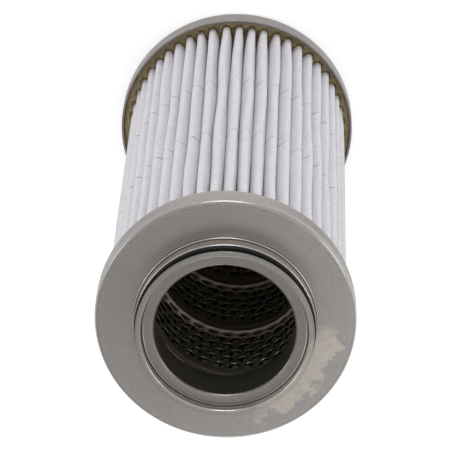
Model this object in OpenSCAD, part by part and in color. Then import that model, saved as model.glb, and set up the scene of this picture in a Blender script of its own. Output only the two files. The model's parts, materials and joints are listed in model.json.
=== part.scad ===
// Pleated filter element that stands on its closed end, with its open neck at the top.
// The axis is Z. The origin is the centre of the closed end cap's outer face.

/* [Element] */
// Outer diameter of both end caps
cap_d = 100; // [88:1:160]
// Distance between the outer faces of the two end caps
body_l = 210; // [80:1:400]

/* [End caps] */
// Thickness of the cap sheet
sheet_t = 1; // [0.7:0.1:1.3]
// Height of the turned-down skirt
skirt_h = 9.8; // [7:0.1:16]
// Outside radius of the bend between face and skirt
bend_r = 1.6; // [1.3:0.1:2.5]

/* [Sleeve] */
// Bore of the flanged sleeve inside the neck
sleeve_bore_d = 53.6; // [40:0.1:66]
// Wall of the sleeve
sleeve_t = 1; // [0.8:0.1:1.4]
// Width of the flange at the sleeve's upper end
flange_w = 3.5; // [3:0.1:5]
// Clearance between the flange and the neck around it
flange_gap = 0.45; // [0.1:0.05:0.6]
// Depth of the flange's face below the top of the lip
flange_drop = 3.4; // [2.5:0.1:5]
// Length of the sleeve that stands out of the resin
sleeve_reach = 3.4; // [2:0.1:8]
// Amount by which the sleeve's lower end is opened out
sleeve_flare = 0.6; // [0.2:0.1:1]

/* [Neck] */
// Height of the neck's shoulder above the cap face
shoulder_h = 6.7; // [5:0.1:9]
// Height of the upturned edge round the foot of the neck
edge_h = 1.6; // [1:0.1:2.5]
// Width of the upturned edge
edge_w = 0.7; // [0.5:0.05:1]
// Height of the seal groove
groove_h = 4.4; // [3:0.1:5]
// Depth of the seal groove below the neck's outside
groove_depth = 2; // [1.7:0.05:3]
// Overhang of the rolled lip above the groove
lip_w = 1.65; // [0.8:0.05:2]
// Thickness of the rolled lip
lip_t = 1; // [0.8:0.1:1.4]

/* [Seal] */
// Section diameter of the sealing ring
seal_section = 1.85; // [1.5:0.05:2.8]

/* [Centre tube] */
// Clearance between the sleeve and the tube around it
tube_clearance = 3.6; // [2.5:0.1:5]
// Sheet thickness of the tube
tube_t = 0.8; // [0.6:0.1:1.2]
// Advance of the spiral strip for each turn
strip_pitch = 44.6; // [43:0.1:70]
// Axial width of the folded lock seam
seam_w = 6.4; // [5:0.1:8]
// Height of the lock seam inside the bore
seam_h = 1.5; // [1:0.1:1.6]
// Diameter of one perforation
hole_d = 4.9; // [3.6:0.1:5.2]
// Full rows of perforations across the strip
hole_rows = 5; // [3:1:5]
// Axial distance between rows
row_step = 6; // [5.4:0.1:6.4]
// Distance between perforations along a row
hole_step = 6.1; // [5.8:0.1:9]

/* [Pleats] */
// Number of pleats
pleats = 51; // [36:1:62]
// Clearance between pleat tips and skirt
tip_gap = 2.25; // [1.5:0.05:4]
// Clearance between pleat roots and centre tube
root_gap = 0.1; // [0.05:0.05:0.5]
// Radius of the fold at a pleat's tip
tip_fold_r = 1.55; // [1.45:0.05:2]
// Radius of a pleat's cheeks, the bends at its widest place
cheek_fold_r = 1.5; // [1.45:0.05:1.8]
// Depth of the cheeks' centres below the pleat tips
cheek_depth = 4.4; // [3.5:0.1:6]
// Clearance between the cheeks of neighbouring pleats
cheek_spacing = 0.45; // [0.2:0.05:1]
// Clearance between neighbouring inner folds
root_spacing = 0.6; // [0.2:0.05:0.8]
// Thickness of the white outer fleece
fleece_t = 0.5; // [0.3:0.05:0.6]
// Thickness of the filter media
media_t = 0.4; // [0.3:0.05:0.5]
// Thickness of the inner support mesh
mesh_t = 0.4; // [0.3:0.05:0.5]

/* [Potting] */
// Distance of the resin below the skirt's rim
resin_drop = 3.2; // [2:0.1:4]
// Resin left between pleat ends and cap
potting_floor = 1; // [0.5:0.1:2]

/* [Hidden] */
$fn = 96;

cap_r = cap_d / 2;
skirt_r = cap_r - sheet_t;
inner_bend_r = bend_r - sheet_t;
potting_h = skirt_h - resin_drop;

// Radii grow outwards from the sleeve's bore: its flange, the neck around it and the tube below.
sleeve_bore_r = sleeve_bore_d / 2;
sleeve_r = sleeve_bore_r + sleeve_t;
flange_r = sleeve_r + flange_w;
collar_bore_r = flange_r + flange_gap;
groove_r = collar_bore_r + sheet_t;
neck_r = groove_r + groove_depth;
lip_r = groove_r + lip_w;
tube_bore_r = sleeve_r + tube_clearance;
tube_r = tube_bore_r + tube_t;

// Turn of the rounded edge before it runs flat to the neck's wall
edge_turn = 135;
shoulder_round = 0.5;
lip_h = shoulder_h + groove_h + lip_t;
lip_round = 0.4;
lip_inner_round = 0.9;

mouth_inner_round = 0.2;
mouth_round = sleeve_t + mouth_inner_round;
flange_round = 0.4;
flare_rise = sleeve_flare;
flare_start = 0.2;

pack_z0 = sheet_t + potting_floor;
pack_l = body_l - 2 * pack_z0;

pack_t = fleece_t + media_t + mesh_t;
tip_r = skirt_r - tip_gap;
root_r0 = tube_r + root_gap;
half_step = 180 / pleats;
root_fold_r = (root_r0 * sin(half_step) - root_spacing / 2) / (1 - sin(half_step));
tip_centre = tip_r - tip_fold_r;
cheek_x = tip_r - cheek_depth;
cheek_y = (cheek_x * sin(half_step) - cheek_fold_r - cheek_spacing / 2) / cos(half_step);
root_centre = root_r0 + root_fold_r;
tip_mid = tip_fold_r - pack_t / 2;
cheek_mid = cheek_fold_r - pack_t / 2;
root_mid = root_fold_r - pack_t / 2;
tip_steps = 4;
cheek_steps = 2;
root_steps = 3;

// A flank is the line that touches the tip's fold and a cheek on the same side.
// A leg is the line that touches a cheek and the inner fold on opposite sides.
flank_turn = tangent_turn([cheek_x - tip_centre, cheek_y], tip_mid - cheek_mid);
leg_turn = tangent_turn([root_centre * cos(half_step) - cheek_x, root_centre * sin(half_step) - cheek_y],
                        cheek_mid + root_mid);
root_turn = leg_turn - half_step;

// The tube's wall is made of narrow flats, so that every perforation is a true round hole.
tube_flats = 48;

// The seam's step faces the neck. At seam_angle it lies seam_drop below the open end's face.
seam_drop = 56;
seam_angle = 90;
seam_bite = tube_t / 2;
seam_slope = 0.7;
seam_segments = 30;

// Plain sheet between the seam's step and the first full row
row_margin = 2.65;
first_row = row_margin + hole_d / 2;
hole_turn = hole_step / tube_bore_r * 180 / PI;
// Plain sheet between the outermost perforations and the resin
hole_margin = 0.5;
// Length by which a cutter stands out of what it cuts
cut_margin = 1;

function polar(r, a) = [r * cos(a), r * sin(a)];

// Points of an arc about a centre, from angle a0 to a1.
function arc(c, r, a0, a1, steps = 6) =
    [for (i = [0:steps]) c + polar(r, a0 + (a1 - a0) * i / steps)];

// Direction that a line touching two folds faces, where v leads from one centre to the other.
function tangent_turn(v, difference) = atan2(v.y, v.x) - acos(difference / norm(v));

function turned(points, a) = [for (p = points) polar(norm(p), atan2(p.y, p.x) + a)];

// One pleat's share of the folded line that lies d outside the middle of the pack.
function pleat_points(i, d) = concat(
    turned(concat(
        arc([cheek_x, -cheek_y], cheek_mid + d, -leg_turn, -flank_turn, cheek_steps),
        arc([tip_centre, 0], tip_mid + d, -flank_turn, flank_turn, tip_steps),
        arc([cheek_x, cheek_y], cheek_mid + d, flank_turn, leg_turn, cheek_steps)), 2 * half_step * i),
    turned(
        arc([root_centre, 0], root_mid - d, 180 + root_turn, 180 - root_turn, root_steps),
        half_step * (2 * i + 1)));

function folded_line(d) = [for (i = [0:pleats - 1]) each pleat_points(i, d)];

// Height of the seam's step at angle a, which may pass any number of turns.
function seam_at(a) = body_l - seam_drop + strip_pitch * (a - seam_angle) / 360;

// A cap's outline in the plane of the axis, with its outer face at z = 0 and its skirt along +Z.
module cap_skirt_outline(inner_end) {
    bend = [cap_r - bend_r, bend_r];
    polygon(concat(
        [[inner_end, 0]],
        arc(bend, bend_r, -90, 0),
        [[cap_r, skirt_h], [skirt_r, skirt_h]],
        arc(bend, inner_bend_r, 0, -90),
        [[inner_end, sheet_t]]));
}

module potting_outline(inner_end) {
    bend = [cap_r - bend_r, bend_r];
    polygon(concat(
        [[inner_end, sheet_t]],
        arc(bend, inner_bend_r, -90, 0),
        [[skirt_r, potting_h], [inner_end, potting_h]]));
}

module folded_layer(inside, outside, z0, l) {
    outer = folded_line(outside);
    inner = folded_line(inside);
    translate([0, 0, z0])
        linear_extrude(height = l)
            polygon(concat(outer, inner),
                paths = [[for (i = [0:len(outer) - 1]) i],
                         [for (i = [0:len(inner) - 1]) len(outer) + i]]);
}

module tube_wall(z0, l) {
    outline = [for (r = [tube_r, tube_bore_r], i = [0:tube_flats - 1]) polar(r, 360 * i / tube_flats)];
    translate([0, 0, z0])
        linear_extrude(height = l)
            polygon(outline,
                paths = [[for (i = [0:tube_flats - 1]) i],
                         [for (i = [0:tube_flats - 1]) tube_flats + i]]);
}

// The ends of the pleats and of the centre tube, which the resin holds.
module pack_ends(z0, l) {
    folded_layer(-pack_t / 2, pack_t / 2, z0, l);
    tube_wall(z0, l);
}

module closed_end_cap() {
    color("#a39d99")
        rotate_extrude()
            cap_skirt_outline(0);
}

module closed_end_potting() {
    color("#7c6e57")
        difference() {
            rotate_extrude()
                potting_outline(0);
            pack_ends(pack_z0, potting_h);
        }
}

// A perforation that points away from the axis at angle a and height z.
module perforation(a, z) {
    rotate([0, 0, a])
        translate([tube_bore_r - cut_margin, 0, z])
            rotate([0, 90, 0])
                cylinder(d = hole_d, h = tube_t + 2 * cut_margin);
}

module lock_seam() {
    low = potting_h;
    high = body_l - potting_h;
    a0 = seam_angle + 360 * (low - seam_at(seam_angle)) / strip_pitch;
    a1 = seam_angle + 360 * (high + seam_w - seam_at(seam_angle)) / strip_pitch;
    steps = ceil((a1 - a0) / 360 * seam_segments);
    inner_r = tube_bore_r - seam_h;
    outer_r = tube_bore_r + seam_bite;
    section = [[outer_r, seam_bite * seam_slope], [inner_r, -seam_h * seam_slope],
               [inner_r, -seam_w], [outer_r, -seam_w]];
    corners = len(section);
    points = [for (i = [0:steps])
        let (a = a0 + (a1 - a0) * i / steps)
        for (s = section) [s.x * cos(a), s.x * sin(a), seam_at(a) + s.y]];
    sides = [for (i = [0:steps - 1], j = [0:corners - 1])
        let (k = (j + 1) % corners, p = corners * i, q = p + corners)
        [p + j, p + k, q + k, q + j]];
    ends = [[for (j = [corners - 1:-1:0]) j], [for (j = [0:corners - 1]) corners * steps + j]];
    intersection() {
        polyhedron(points, concat(sides, ends));
        translate([0, 0, low])
            cylinder(r = tube_r, h = high - low);
    }
}

module centre_tube() {
    low = potting_h + hole_margin + hole_d / 2;
    high = body_l - low;
    last = ceil((body_l / strip_pitch + 1) * 360 / hole_turn);
    color("#8a857d")
        difference() {
            union() {
                tube_wall(pack_z0, pack_l);
                lock_seam();
            }
            for (row = [0:hole_rows - 1], i = [-last:last]) {
                a = (i + row % 2 / 2) * hole_turn;
                z = seam_at(a) + first_row + row * row_step;
                if (z > low && z < high)
                    perforation(a, z);
            }
        }
}

module inner_support_mesh() {
    color("#b9a888")
        folded_layer(-pack_t / 2, mesh_t - pack_t / 2, pack_z0, pack_l);
}

module filter_media() {
    color("#efeee8")
        folded_layer(mesh_t - pack_t / 2, pack_t / 2 - fleece_t, pack_z0, pack_l);
}

module outer_fleece() {
    color("#d6d3d8")
        folded_layer(pack_t / 2 - fleece_t, pack_t / 2, pack_z0, pack_l);
}

module open_end_potting() {
    color("#7c6e57")
        difference() {
            translate([0, 0, body_l])
                mirror([0, 0, 1])
                    rotate_extrude()
                        potting_outline(sleeve_r);
            pack_ends(body_l - pack_z0 - potting_h, potting_h);
        }
}

module open_end_cap() {
    bend = [cap_r - bend_r, -bend_r];
    edge = [neck_r + edge_w / 2, edge_h - edge_w / 2];
    edge_end = edge + polar(edge_w / 2, edge_turn);
    shoulder = [neck_r - shoulder_round, shoulder_h - shoulder_round];
    color("#8e8a88")
        translate([0, 0, body_l])
            rotate_extrude()
                polygon(concat(
                    [[skirt_r, -skirt_h], [cap_r, -skirt_h]],
                    arc(bend, bend_r, 0, 90),
                    [[neck_r + edge_w, 0]],
                    arc(edge, edge_w / 2, 0, edge_turn),
                    [[neck_r, edge_end.y]],
                    arc(shoulder, shoulder_round, 0, 90),
                    [[groove_r, shoulder_h], [groove_r, lip_h - lip_t], [lip_r, lip_h - lip_t]],
                    arc([lip_r - lip_round, lip_h - lip_round], lip_round, 0, 90),
                    arc([collar_bore_r + lip_inner_round, lip_h - lip_inner_round], lip_inner_round, 90, 180),
                    [[collar_bore_r, shoulder_h - sheet_t], [neck_r - sheet_t, shoulder_h - sheet_t],
                     [neck_r - sheet_t, -sheet_t]],
                    arc(bend, inner_bend_r, 90, 0)));
}

module neck_sleeve() {
    top = lip_h - flange_drop;
    bottom = -potting_h - sleeve_reach;
    flare_top = -potting_h - flare_start;
    flare_r = sleeve_r + sleeve_flare;
    bend = [sleeve_bore_r + mouth_round, top - mouth_round];
    color("#8c877f")
        translate([0, 0, body_l])
            rotate_extrude()
                polygon(concat(
                    arc(bend, mouth_round, 180, 90),
                    arc([flange_r - flange_round, top - flange_round], flange_round, 90, 0),
                    [[flange_r, top - sleeve_t]],
                    arc(bend, mouth_inner_round, 90, 180),
                    [[sleeve_r, flare_top], [flare_r, flare_top - flare_rise],
                     [flare_r, bottom], [flare_r - sleeve_t, bottom],
                     [flare_r - sleeve_t, flare_top - flare_rise], [sleeve_bore_r, flare_top]]));
}

module neck_seal() {
    color("#2d2b2d")
        translate([0, 0, body_l + shoulder_h + seal_section / 2])
            rotate_extrude()
                translate([groove_r + seal_section / 2, 0])
                    circle(d = seal_section);
}

closed_end_cap();
closed_end_potting();
centre_tube();
inner_support_mesh();
filter_media();
outer_fleece();
open_end_potting();
open_end_cap();
neck_sleeve();
neck_seal();
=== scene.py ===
import json
import math
import bmesh
import bpy
import numpy as np
from mathutils import Matrix, Vector


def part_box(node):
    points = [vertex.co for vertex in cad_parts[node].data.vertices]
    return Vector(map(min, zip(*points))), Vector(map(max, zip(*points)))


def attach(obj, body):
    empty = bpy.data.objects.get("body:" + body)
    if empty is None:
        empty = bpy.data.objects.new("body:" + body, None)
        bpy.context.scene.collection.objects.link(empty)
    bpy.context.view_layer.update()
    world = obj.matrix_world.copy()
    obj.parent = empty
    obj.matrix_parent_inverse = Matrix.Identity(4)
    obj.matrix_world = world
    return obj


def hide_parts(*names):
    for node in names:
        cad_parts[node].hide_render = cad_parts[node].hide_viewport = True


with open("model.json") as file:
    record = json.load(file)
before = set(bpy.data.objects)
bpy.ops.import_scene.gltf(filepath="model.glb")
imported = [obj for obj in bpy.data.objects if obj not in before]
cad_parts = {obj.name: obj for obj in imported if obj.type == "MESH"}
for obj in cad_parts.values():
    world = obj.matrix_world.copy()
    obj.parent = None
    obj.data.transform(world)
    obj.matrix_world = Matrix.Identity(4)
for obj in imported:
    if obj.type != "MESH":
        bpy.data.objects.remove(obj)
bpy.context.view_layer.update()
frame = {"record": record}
scene = bpy.context.scene
mm = 0.001
print("frame loaded")

# sizes that the pieces share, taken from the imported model
mounts = {m["name"]: m for m in frame["record"]["mounts"]}
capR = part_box("closed_end_cap")[1].x
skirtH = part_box("closed_end_cap")[1].z
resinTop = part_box("closed_end_potting")[1].z
packLow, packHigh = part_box("outer_fleece")
tubeLow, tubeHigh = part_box("centre_tube")
sleeveLow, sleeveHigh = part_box("neck_sleeve")
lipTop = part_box("open_end_cap")[1].z
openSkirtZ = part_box("open_end_cap")[0].z
faceZ = openSkirtZ + skirtH  # outer face of the open end's plate
openResinZ = faceZ - resinTop
neckR = mounts["neck_outside"]["dims"]["r_mm"] * mm
sleeveBoreR = mounts["neck_bore"]["dims"]["r_mm"] * mm
tubeR = tubeHigh.x
sheetT = 1.0 * mm  # thickness of both caps' sheet


# mesh helpers

def meshObject(name, verts, faces, smoothAngle=None, **layers):
    mesh = bpy.data.meshes.new(name)
    mesh.from_pydata(np.asarray(verts, float).tolist(), [], faces)
    mesh.polygons.foreach_set("use_smooth", [True] * len(mesh.polygons))
    if smoothAngle is not None:
        mesh.set_sharp_from_angle(angle=math.radians(smoothAngle))
    for layerName, values in layers.items():
        layer = mesh.attributes.new(layerName, "FLOAT", "POINT")
        layer.data.foreach_set("value", np.asarray(values, dtype=np.float32))
    mesh.update()
    piece = bpy.data.objects.new(name, mesh)
    scene.collection.objects.link(piece)
    return piece


def roundedProfile(corners, steps=6):
    # corners are (r, z, fillet, shine) in order; gives back the points and how strongly each one is worn and
    # carries a painted highlight
    points, wornAndLit = [], []
    count = len(corners)
    for i, (r, z, fillet, *shine) in enumerate(corners):
        here = np.array([r, z], float)
        if fillet <= 0:
            points.append(here)
            wornAndLit.append(0.0)
            continue
        before = np.array(corners[i - 1][:2], float) - here
        after = np.array(corners[(i + 1) % count][:2], float) - here
        before /= np.linalg.norm(before)
        after /= np.linalg.norm(after)
        half = math.acos(max(-1.0, min(1.0, float(before @ after)))) / 2
        reach = fillet / math.tan(half)
        middle = before + after
        centre = here + middle / np.linalg.norm(middle) * (fillet / math.sin(half))
        start, end = here + before * reach, here + after * reach
        a0 = math.atan2(start[1] - centre[1], start[0] - centre[0])
        a1 = math.atan2(end[1] - centre[1], end[0] - centre[0])
        turn = (a1 - a0 + math.pi) % (2 * math.pi) - math.pi
        for k in range(steps + 1):
            a = a0 + turn * k / steps
            points.append(centre + fillet * np.array([math.cos(a), math.sin(a)]))
            wornAndLit.append((shine[0] if shine else 0.5) * math.sin(math.pi * (k + 0.5) / (steps + 1)))
    return points, wornAndLit


def splitLong(points, wornAndLit, longest):
    # more points along the straight stretches, so that no face gets too long
    outPoints, outWorn = [], []
    for i, point in enumerate(points):
        outPoints.append(point)
        outWorn.append(wornAndLit[i])
        ahead = points[(i + 1) % len(points)]
        extra = int(float(np.linalg.norm(ahead - point)) // longest)
        for k in range(1, extra + 1):
            outPoints.append(point + (ahead - point) * k / (extra + 1))
            outWorn.append(0.0)
    return outPoints, outWorn


def turned(name, corners, segments=240, longest=3 * mm):
    # a closed outline turned about Z
    points, wornAndLit = splitLong(*roundedProfile(corners), longest)
    profile = np.array(points)
    angles = np.arange(segments) * 2 * math.pi / segments
    verts, wear, index = [], [], []
    for (r, z), shine in zip(profile, wornAndLit):
        onAxis = r < 1e-7
        ring = [(0.0, 0.0, z)] if onAxis else [(r * math.cos(a), r * math.sin(a), z) for a in angles]
        index.append([len(verts) + (0 if onAxis else i) for i in range(segments)])
        verts += ring
        wear += [shine] * len(ring)
    faces = []
    for j in range(len(profile)):
        k = (j + 1) % len(profile)
        if index[j][0] == index[j][1] and index[k][0] == index[k][1]:
            continue
        for i in range(segments):
            n = (i + 1) % segments
            ring = [index[j][i], index[j][n], index[k][n], index[k][i]]
            faces.append([v for q, v in enumerate(ring) if v not in ring[:q]])
    return meshObject(name, verts, faces, 40, wear=wear)


def markPoints(piece, layerName, rule):
    # a value on every point, from a rule for its radius and height
    layer = piece.data.attributes.new(layerName, "FLOAT", "POINT")
    for point in piece.data.vertices:
        x, y, z = point.co
        layer.data[point.index].value = float(rule(math.hypot(x, y), z))


def smoothNoise(rng, count, knots, amount):
    # a slow random line: count lines of values at the given number of even knots
    return rng.uniform(-amount, amount, size=(count, knots))


def along(noise, t):
    # reads a slow random line at t from 0 to 1
    knots = noise.shape[1]
    x = np.clip(t, 0, 1) * (knots - 1)
    k = np.minimum(x.astype(int), knots - 2)
    f = x - k
    f = f * f * (3 - 2 * f)
    return noise[:, k] * (1 - f) + noise[:, k + 1] * f


# the closed end's cap: a flat plate with its skirt turned up round the resin

closedCap = dict(bend=1.6, rimRound=0.3, longest=2.5)

bend = closedCap["bend"] * mm
rim = closedCap["rimRound"] * mm
closedCapPiece = turned("closedEndCap", [
    (0, 0, 0), (capR, 0, bend), (capR, skirtH, rim), (capR - sheetT, skirtH, rim),
    (capR - sheetT, sheetT, bend - sheetT), (0, sheetT, 0)], longest=closedCap["longest"] * mm)
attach(closedCapPiece, "root")
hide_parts("closed_end_cap")
print("closed end cap made")


# the open end's cap: plate, skirt and neck drawn from one sheet, with the groove and rolled lip on top

openCap = dict(bend=1.6, rimRound=0.3, edgeH=1.7, edgeW=0.7, edgeFoot=0.15, edgeLean=0.04, edgeNotch=0.3,
               shoulderH=6.7, shoulderRound=0.5, grooveDepth=2.0, crisp=0.1, lipOverhang=1.35, lipT=1.0,
               lipUnderRound=0.2, lipRound=0.4, lipInnerRound=0.9, segments=288, longest=2)
# where the open cap's finish changes, in mm, and how strongly: rolled scuffs, a painted brown reflection, and
# painted shade in the neck's foot notch
capMarks = dict(skirtSkin=0.1, neckSkin=0.02, neckFoot=0.4, lipDepth=0.3, lipRolled=1.0, skirtRolled=0.7,
                neckBrownReflection=0.7, skirtBrowned=0.12, footShade=0.8)

crisp = openCap["crisp"] * mm
bend, rim = openCap["bend"] * mm, openCap["rimRound"] * mm
edgeW, edgeTop = openCap["edgeW"] * mm, faceZ + openCap["edgeH"] * mm
grooveR = neckR - openCap["grooveDepth"] * mm
collarR = grooveR - sheetT
lipR = grooveR + openCap["lipOverhang"] * mm
lipUnder = lipTop - openCap["lipT"] * mm
shoulderZ = faceZ + openCap["shoulderH"] * mm
# the fourth number at a corner sets the wear and the painted highlight along that rounded corner
openCapPiece = turned("openEndCap", [
    (capR - sheetT, openSkirtZ, rim), (capR, openSkirtZ, rim), (capR, faceZ, bend, 0.75),
    (neckR + edgeW, faceZ, openCap["edgeFoot"] * mm, 0), (neckR + edgeW, edgeTop, edgeW * 0.5, 1),
    (neckR + openCap["edgeLean"] * mm, edgeTop, edgeW * 0.4, 0.6),
    (neckR, edgeTop - openCap["edgeNotch"] * mm, 0), (neckR, shoulderZ, openCap["shoulderRound"] * mm, 0.9),
    (grooveR, shoulderZ, crisp, 0), (grooveR, lipUnder, crisp, 0),
    (lipR, lipUnder, openCap["lipUnderRound"] * mm),
    (lipR, lipTop, openCap["lipRound"] * mm, 0), (collarR, lipTop, openCap["lipInnerRound"] * mm, 0.8),
    (collarR, shoulderZ - sheetT, crisp), (neckR - sheetT, shoulderZ - sheetT, crisp),
    (neckR - sheetT, faceZ - sheetT, crisp), (capR - sheetT, faceZ - sheetT, bend - sheetT)],
    segments=openCap["segments"], longest=openCap["longest"] * mm)


def onSkirt(r, z):
    return r > capR - capMarks["skirtSkin"] * mm and z < faceZ - bend


def onNeck(r, z):
    return abs(r - neckR) < capMarks["neckSkin"] * mm and z > edgeTop - capMarks["neckFoot"] * mm


def rolledAt(r, z):
    onLip = z > lipTop - capMarks["lipDepth"] * mm
    return capMarks["lipRolled"] if onLip else capMarks["skirtRolled"] * onSkirt(r, z)


def brownReflectionAt(r, z):
    return capMarks["neckBrownReflection"] if onNeck(r, z) else capMarks["skirtBrowned"] * onSkirt(r, z)


# painted shade in the notch under the neck's foot edge
def notchShadeAt(r, z):
    return capMarks["footShade"] * (onNeck(r, z) and z < edgeTop)


for layerName, rule in dict(rolled=rolledAt, brownReflection=brownReflectionAt, soiledAndShaded=notchShadeAt, skirtSide=onSkirt).items():
    markPoints(openCapPiece, layerName, rule)
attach(openCapPiece, "root")
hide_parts("open_end_cap")
print("open end cap made")


# the flanged sleeve inside the neck, with a low step outside its flange

sleeve = dict(wall=1.0, flange=3.5, flangeEdge=0.15, mouthRound=1.2, step=0.25, stepGap=0.08, stepFoot=0.05,
              stepEdge=0.12, underEdge=0.1, flare=0.6, flareStart=0.2, flareRound=0.4, lowEdge=0.15,
              longest=1.5)

wall, mouth = sleeve["wall"] * mm, sleeve["mouthRound"] * mm
sleeveR = sleeveBoreR + wall
flangeR = sleeveR + sleeve["flange"] * mm
stepR, stepZ = collarR - sleeve["stepGap"] * mm, sleeveHigh.z - sleeve["step"] * mm
flare, flareRound = sleeve["flare"] * mm, sleeve["flareRound"] * mm
flareTop = openResinZ - sleeve["flareStart"] * mm
lowEdge = sleeve["lowEdge"] * mm
sleevePiece = turned("neckSleeve", [
    (sleeveBoreR, sleeveHigh.z, mouth, 0.35), (flangeR, sleeveHigh.z, sleeve["flangeEdge"] * mm, 1),
    (flangeR, stepZ, sleeve["stepFoot"] * mm, 0), (stepR, stepZ, sleeve["stepEdge"] * mm, 0),
    (stepR, sleeveHigh.z - wall, sleeve["underEdge"] * mm), (sleeveR, sleeveHigh.z - wall, mouth - wall),
    (sleeveR, flareTop, flareRound), (sleeveR + flare, flareTop - flare, flareRound),
    (sleeveR + flare, sleeveLow.z, lowEdge), (sleeveBoreR + flare, sleeveLow.z, lowEdge),
    (sleeveBoreR + flare, flareTop - flare, flareRound), (sleeveBoreR, flareTop, flareRound)],
    longest=sleeve["longest"] * mm)
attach(sleevePiece, "root")
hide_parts("neck_sleeve")
print("sleeve made")


# the sealing ring in the groove, with its mould line inside and outside

seal = dict(section=1.85, points=20, mouldLine=0.03)

sealRadius = seal["section"] * mm / 2
sealRing = []
for k in range(seal["points"]):
    a = 2 * math.pi * k / seal["points"]
    grow = sealRadius + (seal["mouldLine"] * mm if k in (0, seal["points"] // 2) else 0)
    across, up = sealRadius + grow * math.cos(a), sealRadius + grow * math.sin(a)
    sealRing.append((grooveR + across, shoulderZ + up, 0))
sealPiece = turned("neckSeal", sealRing)
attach(sealPiece, "root")
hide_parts("neck_seal")
print("seal made")


# the centre tube: a perforated strip wound into a spiral, its edges folded into a raised lock seam

tube = dict(pitch=44.6, wall=0.8, seamDrop=56.0, seamAngle=90, seamWidth=6.4, seamHeight=1.5,
            rows=6, rowStep=6.0, holeStep=6.1, holeD=4.9, firstRow=-0.9, margin=0.5, scallop=0.4,
            seamPointsPerTurn=260, seamOverrun=4, plainParts=3, spareTurns=1.3, holeSpare=8, plainSpare=10,
            sharpAngle=35)
# the rings of a perforation, from the bore outwards: growth in radius, depth in the wall, shine (painted
# highlight arcs, with some wear), darkness (painted shade on the cut wall)
holeRings = [(0.26, 0.0, 0.0, 0.0), (0.12, -0.03, 0.95, 0.0), (0.0, 0.12, 0.8, 0.0), (0.0, 0.2, 0.0, 1.0),
             (0.0, 0.8, 0.0, 1.0)]
# the seam's section from its step downwards: share of the width, share of the height, shine (how much painted
# highlight the step gets)
seamSection = [
    (0.0, -0.1, 0), (0.0, 0.1, 0), (0.003, 0.5, 0.5), (0.006, 0.72, 1), (0.03, 0.88, 1), (0.09, 0.95, 0.9),
    (0.13, 0.97, 0), (0.64, 0.94, 0), (0.66, 0.98, 0.35), (0.69, 1.0, 0.2), (0.72, 1.0, 0), (0.86, 0.96, 0),
    (0.88, 0.99, 0.3), (0.91, 0.99, 0), (0.985, 0.8, 0), (1.0, 0.0, 0)]

pitch = tube["pitch"] * mm
boreR = tubeR - tube["wall"] * mm
holeR = tube["holeD"] * mm / 2
rowStep = tube["rowStep"] * mm
column = tube["holeStep"] * mm / boreR / 2  # half a hole spacing, as an angle
seamAngle = math.radians(tube["seamAngle"])
seamZ = faceZ - tube["seamDrop"] * mm


def seamAt(a):
    return seamZ + pitch * (a - seamAngle) / (2 * math.pi)


def onTube(r, a, z):
    return (r * math.cos(a), r * math.sin(a), z)


def perforatedStrip():
    verts, faces, index, wear, cut = [], [], {}, [], []
    lowHole = resinTop + (tube["margin"] * mm + holeR)
    highHole = openResinZ - (tube["margin"] * mm + holeR)
    rowCentres = [(tube["firstRow"] + tube["rowStep"] * row) * mm for row in range(tube["rows"])]
    plainLow = rowCentres[-1] + rowStep / 2
    plainHigh = rowCentres[0] - rowStep / 2 + pitch
    parts = tube["plainParts"]
    plainLevels = [plainLow + (plainHigh - plainLow) * k / parts for k in range(parts + 1)]
    perTurn = 2 * math.pi / column
    first = int((-(seamZ - tubeLow.z) / pitch - tube["spareTurns"]) * perTurn)
    last = int(((tubeHigh.z - seamZ) / pitch + tube["spareTurns"]) * perTurn)

    def corner(c, w, side):
        key = (c, round(w * 1e7), side)
        if key not in index:
            a = c * column
            index[key] = len(verts)
            verts.append(onTube(tubeR if side else boreR, a, seamAt(a) + w))
            wear.append(0.0)
            cut.append(0.0)
        return index[key]

    def flat(points):
        # the same outline on the inside and the outside of the wall
        faces.append([corner(c, w, 0) for c, w in points])
        faces.append([corner(c, w, 1) for c, w in reversed(points)])

    def near(z, spare):
        # the strip runs past both ends of the tube and is trimmed later
        return tubeLow.z - spare * mm <= z <= tubeHigh.z + spare * mm

    for row, w0 in enumerate(rowCentres):
        low, high = w0 - rowStep / 2, w0 + rowStep / 2
        for c in range(first + (first + row) % 2, last, 2):
            a0 = c * column
            z0 = seamAt(a0) + w0
            if not near(z0, tube["holeSpare"]):
                continue
            if not lowHole < z0 < highHole:
                flat([(c - 1, low), (c, low), (c, high), (c - 1, high), (c - 1, w0)])
                flat([(c, low), (c + 1, low), (c + 1, w0), (c + 1, high), (c, high)])
                continue
            border = [(c - 1, low), (c, low), (c + 1, low), (c + 1, w0),
                      (c + 1, high), (c, high), (c - 1, high), (c - 1, w0)]
            rings = []
            for growth, depth, shine, dark in holeRings:
                ring = []
                radius = holeR + growth * mm
                for k in range(16):
                    t = math.radians(22.5 * k - 135)
                    ring.append(len(verts))
                    turn, up = radius * math.cos(t) / boreR, radius * math.sin(t)
                    verts.append(onTube(boreR + depth * mm, a0 + turn, z0 + up))
                    wear.append(shine)
                    cut.append(dark)
                rings.append(ring)
            for k in range(8):
                n = (k + 1) % 8
                for side, ring in ((0, rings[0]), (1, rings[-1])):
                    b0, b1 = corner(*border[k], side), corner(*border[n], side)
                    face = [b0, b1, ring[(2 * k + 2) % 16], ring[2 * k + 1], ring[2 * k]]
                    faces.append(face[::-1] if side else face)
            for inner, outer in zip(rings, rings[1:]):
                for k in range(16):
                    n = (k + 1) % 16
                    faces.append([inner[k], inner[n], outer[n], outer[k]])
    for low, high in zip(plainLevels, plainLevels[1:]):
        for c in range(first, last):
            if near(seamAt(c * column) + low, tube["plainSpare"]):
                flat([(c, low), (c + 1, low), (c + 1, high), (c, high)])
    return verts, faces, wear, cut


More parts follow.
